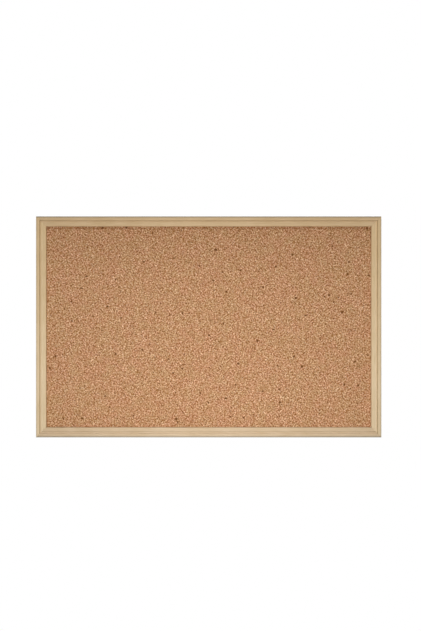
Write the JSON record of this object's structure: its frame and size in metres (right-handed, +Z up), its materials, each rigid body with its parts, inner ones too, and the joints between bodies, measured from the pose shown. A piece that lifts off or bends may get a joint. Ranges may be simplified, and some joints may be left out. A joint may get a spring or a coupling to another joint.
{
  "type": "cork board",
  "caption": "Rectangular wall-hung cork pin board: recessed cork panel in a mitred, stepped natural wood frame, with hinged wire hanging rings behind.",
  "frame": {"origin": "middle of the top rail's back face, where the hung board meets the wall", "axes": "+X to the right as seen from the front, along the long side; +Y out of the back, to the wall; +Z up"},
  "size_m": [0.55, 0.0188, 0.352],
  "materials": {
    "frame_wood": "pale natural softwood moulding, sanded and thinly sealed",
    "cork": "pressed cork granules, matt",
    "fibreboard": "soft brown fibreboard, matt",
    "backing_paper": "brown kraft sheet, matt",
    "zinc_steel": "bright zinc-plated steel"
  },
  "bodies": {
    "board": {"frame_rail_top": "frame_wood", "frame_rail_bottom": "frame_wood", "frame_rail_left": "frame_wood", "frame_rail_right": "frame_wood", "cork_sheet": "cork", "fibreboard_core": "fibreboard", "backing_sheet": "backing_paper", "corner_nail_top_left": "zinc_steel", "corner_nail_top_right": "zinc_steel", "corner_nail_bottom_left": "zinc_steel", "corner_nail_bottom_right": "zinc_steel", "panel_point_top_1": "zinc_steel", "panel_point_top_2": "zinc_steel", "panel_point_top_3": "zinc_steel", "panel_point_top_4": "zinc_steel", "panel_point_bottom_1": "zinc_steel", "panel_point_bottom_2": "zinc_steel", "panel_point_bottom_3": "zinc_steel", "panel_point_bottom_4": "zinc_steel", "panel_point_left_1": "zinc_steel", "panel_point_left_2": "zinc_steel", "panel_point_right_1": "zinc_steel", "panel_point_right_2": "zinc_steel", "hanger_strap_left": "zinc_steel", "hanger_strap_right": "zinc_steel", "hanger_screw_left": "zinc_steel", "hanger_screw_right": "zinc_steel"},
    "left_ring": {"hanger_ring_left": "zinc_steel"},
    "right_ring": {"hanger_ring_right": "zinc_steel"}
  },
  "joints": [
    {"name": "left_ring_swing", "type": "hinge", "parent": "board", "child": "left_ring", "pos_m": [-0.268, 0.00195, -0.05425], "axis": [-1, 0, 0], "range_deg": [0, 168]},
    {"name": "right_ring_swing", "type": "hinge", "parent": "board", "child": "right_ring", "pos_m": [0.268, 0.00195, -0.05425], "axis": [-1, 0, 0], "range_deg": [0, 168]}
  ]
}
